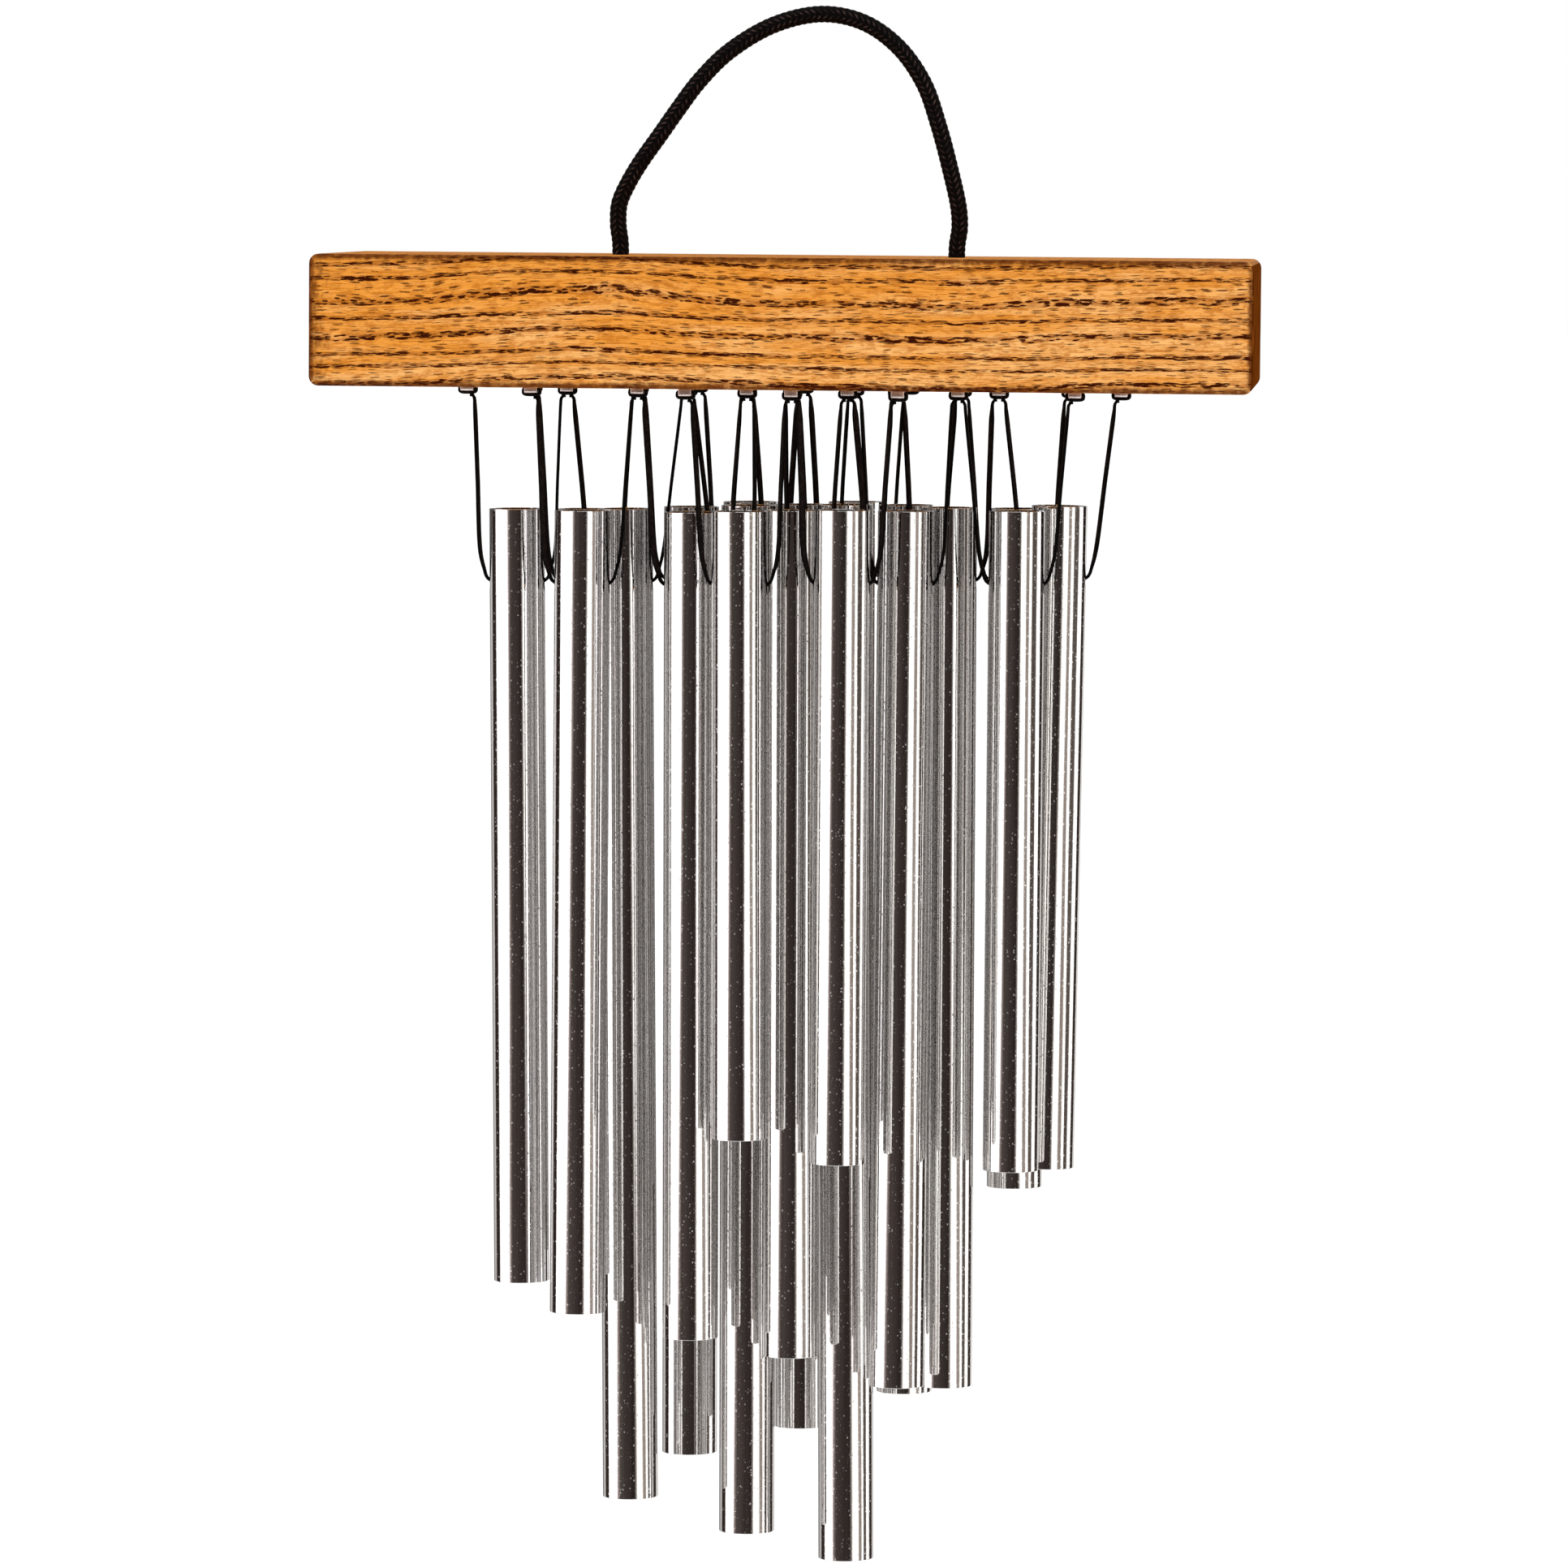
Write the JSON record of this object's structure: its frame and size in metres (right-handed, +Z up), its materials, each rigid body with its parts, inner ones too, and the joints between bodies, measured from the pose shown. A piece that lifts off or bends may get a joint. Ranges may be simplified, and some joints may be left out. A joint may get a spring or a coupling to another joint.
{
  "type": "wind chime",
  "caption": "Cluster wind chime: polished metal tubes of graduated length on black laces, in staggered rows under a stained hardwood bar, hung by a braided cord loop.",
  "frame": {"origin": "where a hook bears on the hanging loop: the underside of the cord at the loop's highest point", "axes": "+X along the bar to the right, +Y towards the back of the bar, +Z up, with the tubes hanging towards -Z"},
  "size_m": [0.1588, 0.0636, 0.2674],
  "materials": {
    "bar_wood": "stained open-grain hardwood under a satin lacquer, dark pores and dark stained end grain",
    "tube_metal": "bright polished tube with fine specks and hairline scratches",
    "staple_metal": "plain bright flat wire",
    "loop_cord": "round braided black cord",
    "lace": "thin flat waxed black lace"
  },
  "bodies": {
    "hanging_loop": {"hanging_loop": "loop_cord"},
    "bar": {"bar": "bar_wood", "loop_end_left": "loop_cord", "loop_end_right": "loop_cord", "staple_a1": "staple_metal", "staple_a2": "staple_metal", "staple_a3": "staple_metal", "staple_b1": "staple_metal", "staple_b2": "staple_metal", "staple_b3": "staple_metal", "staple_b4": "staple_metal", "staple_b5": "staple_metal", "staple_b6": "staple_metal", "staple_c1": "staple_metal", "staple_c2": "staple_metal", "staple_c3": "staple_metal", "staple_c4": "staple_metal", "staple_c5": "staple_metal", "staple_c6": "staple_metal", "staple_c7": "staple_metal"},
    "chime_a1": {"tube_a1": "tube_metal", "lace_a1": "lace"},
    "chime_a2": {"tube_a2": "tube_metal", "lace_a2": "lace"},
    "chime_b1": {"tube_b1": "tube_metal", "lace_b1": "lace"},
    "chime_b2": {"tube_b2": "tube_metal", "lace_b2": "lace"},
    "chime_b3": {"tube_b3": "tube_metal", "lace_b3": "lace"},
    "chime_b4": {"tube_b4": "tube_metal", "lace_b4": "lace"},
    "chime_b5": {"tube_b5": "tube_metal", "lace_b5": "lace"},
    "chime_c1": {"tube_c1": "tube_metal", "lace_c1": "lace"},
    "chime_c2": {"tube_c2": "tube_metal", "lace_c2": "lace"},
    "chime_c3": {"tube_c3": "tube_metal", "lace_c3": "lace"},
    "chime_c4": {"tube_c4": "tube_metal", "lace_c4": "lace"},
    "chime_c5": {"tube_c5": "tube_metal", "lace_c5": "lace"},
    "chime_c6": {"tube_c6": "tube_metal", "lace_c6": "lace"},
    "chime_d1": {"tube_d1": "tube_metal", "lace_d1": "lace"},
    "chime_d2": {"tube_d2": "tube_metal", "lace_d2": "lace"},
    "chime_d3": {"tube_d3": "tube_metal", "lace_d3": "lace"},
    "chime_d4": {"tube_d4": "tube_metal", "lace_d4": "lace"},
    "chime_d5": {"tube_d5": "tube_metal", "lace_d5": "lace"},
    "chime_e1": {"tube_e1": "tube_metal", "lace_e1": "lace"},
    "chime_e2": {"tube_e2": "tube_metal", "lace_e2": "lace"}
  },
  "joints": [
    {"name": "bar_swing", "type": "hinge", "parent": "hanging_loop", "child": "bar", "pos_m": [0, 0, -0.0387], "axis": [1, 0, 0], "range_deg": [-45, 45]},
    {"name": "swing_a1", "type": "hinge", "parent": "bar", "child": "chime_a1", "pos_m": [-0.0117, -0.024, -0.06405], "axis": [1, 0, 0], "range_deg": [-40, 2.8]},
    {"name": "swing_a2", "type": "hinge", "parent": "bar", "child": "chime_a2", "pos_m": [0.0057, -0.024, -0.06405], "axis": [1, 0, 0], "range_deg": [-40, 3.5]},
    {"name": "swing_b1", "type": "hinge", "parent": "bar", "child": "chime_b1", "pos_m": [-0.0395, -0.012, -0.06405], "axis": [1, 0, 0], "range_deg": [-40, 2.1]},
    {"name": "swing_b2", "type": "hinge", "parent": "bar", "child": "chime_b2", "pos_m": [-0.0208, -0.012, -0.06405], "axis": [1, 0, 0], "range_deg": [-4.1, 2.7]},
    {"name": "swing_b3", "type": "hinge", "parent": "bar", "child": "chime_b3", "pos_m": [-0.0036, -0.012, -0.06405], "axis": [1, 0, 0], "range_deg": [-2.8, 2.4]},
    {"name": "swing_b4", "type": "hinge", "parent": "bar", "child": "chime_b4", "pos_m": [0.0157, -0.012, -0.06405], "axis": [1, 0, 0], "range_deg": [-4.9, 1.85]},
    {"name": "swing_b5", "type": "hinge", "parent": "bar", "child": "chime_b5", "pos_m": [0.0346, -0.012, -0.06405], "axis": [1, 0, 0], "range_deg": [-40, 1.6]},
    {"name": "swing_c1", "type": "hinge", "parent": "bar", "child": "chime_c1", "pos_m": [-0.0521, 0, -0.06405], "axis": [1, 0, 0], "range_deg": [-17, 17]},
    {"name": "swing_c2", "type": "hinge", "parent": "bar", "child": "chime_c2", "pos_m": [-0.0334, 0, -0.06405], "axis": [1, 0, 0], "range_deg": [-2.1, 2.7]},
    {"name": "swing_c3", "type": "hinge", "parent": "bar", "child": "chime_c3", "pos_m": [-0.012, 0, -0.06405], "axis": [1, 0, 0], "range_deg": [-2.3, 2.1]},
    {"name": "swing_c4", "type": "hinge", "parent": "bar", "child": "chime_c4", "pos_m": [0.0043, 0, -0.06405], "axis": [1, 0, 0], "range_deg": [-2.5, 2.4]},
    {"name": "swing_c5", "type": "hinge", "parent": "bar", "child": "chime_c5", "pos_m": [0.0224, 0, -0.06405], "axis": [1, 0, 0], "range_deg": [-1.8, 1.9]},
    {"name": "swing_c6", "type": "hinge", "parent": "bar", "child": "chime_c6", "pos_m": [0.0413, 0, -0.06405], "axis": [1, 0, 0], "range_deg": [-1.6, 1.7]},
    {"name": "swing_d1", "type": "hinge", "parent": "bar", "child": "chime_d1", "pos_m": [-0.0407, 0.012, -0.06405], "axis": [1, 0, 0], "range_deg": [-3.1, 40]},
    {"name": "swing_d2", "type": "hinge", "parent": "bar", "child": "chime_d2", "pos_m": [-0.023, 0.012, -0.06405], "axis": [1, 0, 0], "range_deg": [-2.7, 3.6]},
    {"name": "swing_d3", "type": "hinge", "parent": "bar", "child": "chime_d3", "pos_m": [-0.0039, 0.012, -0.06405], "axis": [1, 0, 0], "range_deg": [-2.1, 2.8]},
    {"name": "swing_d4", "type": "hinge", "parent": "bar", "child": "chime_d4", "pos_m": [0.0142, 0.012, -0.06405], "axis": [1, 0, 0], "range_deg": [-1.9, 7.6]},
    {"name": "swing_d5", "type": "hinge", "parent": "bar", "child": "chime_d5", "pos_m": [0.0333, 0.012, -0.06405], "axis": [1, 0, 0], "range_deg": [-1.7, 40]},
    {"name": "swing_e1", "type": "hinge", "parent": "bar", "child": "chime_e1", "pos_m": [-0.0137, 0.024, -0.06405], "axis": [1, 0, 0], "range_deg": [-3.6, 40]},
    {"name": "swing_e2", "type": "hinge", "parent": "bar", "child": "chime_e2", "pos_m": [0.0047, 0.024, -0.06405], "axis": [1, 0, 0], "range_deg": [-2.8, 40]}
  ]
}
